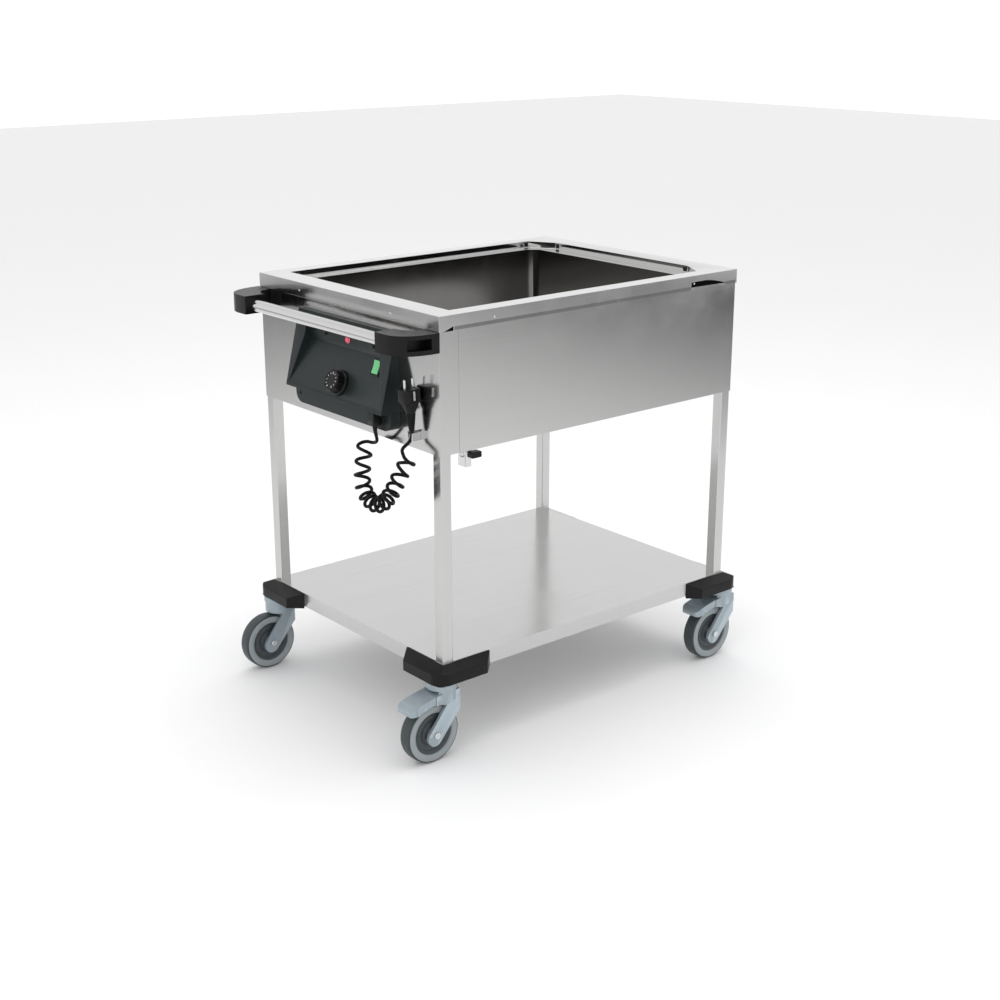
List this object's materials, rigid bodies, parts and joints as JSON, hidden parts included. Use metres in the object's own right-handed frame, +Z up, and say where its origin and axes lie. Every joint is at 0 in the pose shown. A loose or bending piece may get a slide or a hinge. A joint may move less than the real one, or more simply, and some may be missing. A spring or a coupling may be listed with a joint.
{
  "type": "steam table unit",
  "caption": "Mobile heated steam table: an insulated wet well under a pan ledge, on four legs with a lower shelf, swivel castors, push handle, control hood, drain tap and spiral cord.",
  "frame": {"origin": "middle of the outline's footprint, on the floor", "axes": "+X along the length, away from the push handle; +Z up; -Y is the side with the drain tap"},
  "size_m": [0.937, 0.675, 0.9],
  "materials": {
    "sheet_steel": "satin, short brushed grain",
    "well_steel": "bright, deep drawn",
    "zinc": "light blue-grey zinc",
    "black_plastic": "fine grain",
    "hood_plastic": "fine grain",
    "bumper_rubber": "matt",
    "tyre": "smooth grey elastic tyre on a grey rim",
    "cord": "satin",
    "wool": "mineral wool",
    "ceramic": "matt",
    "green": "translucent green",
    "red": "translucent red",
    "bright_steel": "polished",
    "heater": "heat-tinted"
  },
  "bodies": {
    "chassis": {"top_frame": "sheet_steel", "well_basin": "well_steel", "control_end_panel": "sheet_steel", "front_end_panel": "sheet_steel", "right_side_panel": "sheet_steel", "left_side_panel": "sheet_steel", "bottom_cover": "sheet_steel", "insulation": "wool", "heating_element": "heater", "thermostat": "zinc", "safety_thermostat": "zinc", "terminal_block": "ceramic", "switch_body": "black_plastic", "pilot_lamp": "red", "control_hood": "hood_plastic", "control_base": "hood_plastic", "fasteners": "black_plastic", "cord_gland": "black_plastic", "power_cord_ends": "cord", "power_cord_spiral": "cord", "plug_body": "black_plastic", "plug_pins": "bright_steel", "plug_clip": "sheet_steel", "drain_pipe": "bright_steel", "drain_valve_body": "bright_steel", "leg_rear_right": "sheet_steel", "leg_rear_left": "sheet_steel", "leg_front_right": "sheet_steel", "leg_front_left": "sheet_steel", "lower_shelf": "sheet_steel", "bumper_rear_right": "bumper_rubber", "bumper_rear_left": "bumper_rubber", "bumper_front_right": "bumper_rubber", "bumper_front_left": "bumper_rubber", "handle_tube": "sheet_steel", "handle_bracket_right": "black_plastic", "handle_bracket_left": "black_plastic", "rim_end_plugs": "black_plastic", "castor_heads": "zinc", "castor_plates": "zinc", "heater_tray": "zinc"},
    "knob": {"thermostat_knob": "black_plastic", "knob_shaft": "zinc"},
    "rocker": {"switch_rocker": "green"},
    "drain": {"drain_lever": "black_plastic", "drain_valve_ball": "bright_steel"},
    "swivel_rear_right": {"fork_rear_right": "zinc", "axle_rear_right": "bright_steel"},
    "roller_rear_right": {"wheel_rear_right": "tyre"},
    "swivel_rear_left": {"fork_rear_left": "zinc", "axle_rear_left": "bright_steel"},
    "roller_rear_left": {"wheel_rear_left": "tyre"},
    "swivel_front_right": {"fork_front_right": "zinc", "axle_front_right": "bright_steel"},
    "roller_front_right": {"wheel_front_right": "tyre"},
    "swivel_front_left": {"fork_front_left": "zinc", "axle_front_left": "bright_steel"},
    "roller_front_left": {"wheel_front_left": "tyre"},
    "brake_rear_right": {"brake_pedal_rear_right": "zinc"},
    "brake_front_right": {"brake_pedal_front_right": "zinc"}
  },
  "joints": [
    {"name": "thermostat_knob_turn", "type": "hinge", "parent": "chassis", "child": "knob", "pos_m": [-0.4043, -0.028, 0.72615], "axis": [-0.911, 0, 0.4125], "range_deg": [-270, 0]},
    {"name": "switch_rock", "type": "hinge", "parent": "chassis", "child": "rocker", "pos_m": [-0.38327, -0.127, 0.77261], "axis": [0, 1, 0], "range_deg": [0, 10]},
    {"name": "drain_lever_turn", "type": "hinge", "parent": "chassis", "child": "drain", "pos_m": [-0.2375, -0.216, 0.596], "axis": [0, 1, 0], "range_deg": [0, 90]},
    {"name": "swivel_rear_right", "type": "hinge", "parent": "chassis", "child": "swivel_rear_right", "pos_m": [-0.3695, -0.303, 0.14], "axis": [0, 0, 1], "continuous": true},
    {"name": "wheel_rear_right", "type": "hinge", "parent": "swivel_rear_right", "child": "roller_rear_right", "pos_m": [-0.4025, -0.303, 0.0625], "axis": [0, 1, 0], "continuous": true},
    {"name": "brake_rear_right", "type": "hinge", "parent": "swivel_rear_right", "child": "brake_rear_right", "pos_m": [-0.3965, -0.303, 0.1325], "axis": [0, -1, 0], "range_deg": [0, 6]},
    {"name": "swivel_rear_left", "type": "hinge", "parent": "chassis", "child": "swivel_rear_left", "pos_m": [-0.3695, 0.303, 0.14], "axis": [0, 0, 1], "continuous": true},
    {"name": "wheel_rear_left", "type": "hinge", "parent": "swivel_rear_left", "child": "roller_rear_left", "pos_m": [-0.4025, 0.303, 0.0625], "axis": [0, 1, 0], "continuous": true},
    {"name": "swivel_front_right", "type": "hinge", "parent": "chassis", "child": "swivel_front_right", "pos_m": [0.4385, -0.303, 0.14], "axis": [0, 0, 1], "continuous": true},
    {"name": "wheel_front_right", "type": "hinge", "parent": "swivel_front_right", "child": "roller_front_right", "pos_m": [0.4055, -0.303, 0.0625], "axis": [0, 1, 0], "continuous": true},
    {"name": "brake_front_right", "type": "hinge", "parent": "swivel_front_right", "child": "brake_front_right", "pos_m": [0.4115, -0.303, 0.1325], "axis": [0, -1, 0], "range_deg": [0, 6]},
    {"name": "swivel_front_left", "type": "hinge", "parent": "chassis", "child": "swivel_front_left", "pos_m": [0.4385, 0.303, 0.14], "axis": [0, 0, 1], "continuous": true},
    {"name": "wheel_front_left", "type": "hinge", "parent": "swivel_front_left", "child": "roller_front_left", "pos_m": [0.4055, 0.303, 0.0625], "axis": [0, 1, 0], "continuous": true}
  ]
}
